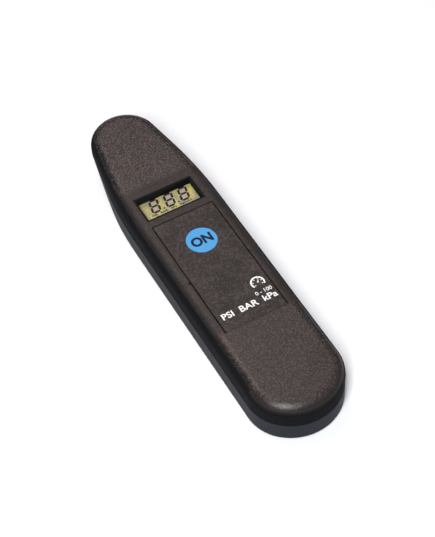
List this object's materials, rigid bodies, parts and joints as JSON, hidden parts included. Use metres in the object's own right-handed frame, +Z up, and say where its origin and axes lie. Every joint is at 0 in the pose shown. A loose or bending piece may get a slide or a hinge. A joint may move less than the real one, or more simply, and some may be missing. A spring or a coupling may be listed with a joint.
{
  "type": "digital tire pressure gauge",
  "caption": "Hand-held digital tire pressure gauge: tapered split case with a display window, a flexing press panel, a valve nozzle under the head and a turning battery cap.",
  "frame": {"origin": "on the flat back, below the middle of the case", "axes": "+Z up through the display face, +Y towards the head with the nozzle, +X to the right seen from above"},
  "size_m": [0.0336, 0.145, 0.0166],
  "materials": {
    "case_plastic": "spark-eroded texture, warm black",
    "back_plastic": "fine satin, black",
    "panel_plastic": "fine matte texture, warm black",
    "polariser": "yellow-green display film",
    "display_glass": "clear",
    "reflector_film": "satin reflector",
    "zebra_rubber": "striped conductive rubber",
    "frame_plastic": "moulded, ivory",
    "board": "green solder mask",
    "epoxy": "cast epoxy, black",
    "nickel": "plated",
    "ceramic_chip": "ceramic with tinned ends",
    "switch_plastic": "moulded, black",
    "steel": "stamped or turned steel",
    "screw_steel": "black zinc",
    "brass": "turned brass",
    "seal_rubber": "nitrile, black",
    "silicone": "translucent silicone",
    "sensor_plastic": "moulded, white"
  },
  "bodies": {
    "case": {"front_cover": "case_plastic", "rear_cover": "back_plastic", "lcd_front_polariser": "polariser", "lcd_front_glass": "display_glass", "lcd_rear_glass": "display_glass", "lcd_reflector": "reflector_film", "lcd_frame": "frame_plastic", "zebra_strip": "zebra_rubber", "main_board": "board", "chip_blob": "epoxy", "crystal_can": "nickel", "chip_resistors": "ceramic_chip", "chip_capacitors": "ceramic_chip", "switch_base": "switch_plastic", "switch_frame": "steel", "switch_dome": "steel", "case_screws": "screw_steel", "board_screws": "steel", "coin_cell": "steel", "negative_contact": "nickel", "positive_contact": "nickel", "nozzle": "brass", "nozzle_nut": "brass", "nozzle_seal": "seal_rubber", "valve_pin": "brass", "pressure_sensor": "sensor_plastic", "sensor_legs": "nickel", "air_tube": "silicone"},
    "key_panel": {"key_panel": "panel_plastic"},
    "switch_plunger": {"switch_plunger": "switch_plastic"},
    "battery_cap": {"battery_cap": "back_plastic"}
  },
  "joints": [
    {"name": "key_press", "type": "hinge", "parent": "case", "child": "key_panel", "pos_m": [0, -0.0343, 0.0156], "axis": [-1, 0, 0], "range_deg": [0, 0.7], "stiffness_Nm_per_rad": 6},
    {"name": "switch_travel", "type": "slide", "parent": "case", "child": "switch_plunger", "axis": [0, 0, -1], "range_m": [0, 0.0005]},
    {"name": "battery_cap_turn", "type": "hinge", "parent": "case", "child": "battery_cap", "pos_m": [0, -0.049, 0], "axis": [0, 0, -1], "range_deg": [0, 60]}
  ],
  "couplings": [
    {"joint": "switch_travel", "follows": "key_press", "m_per_rad": 0.03745}
  ]
}
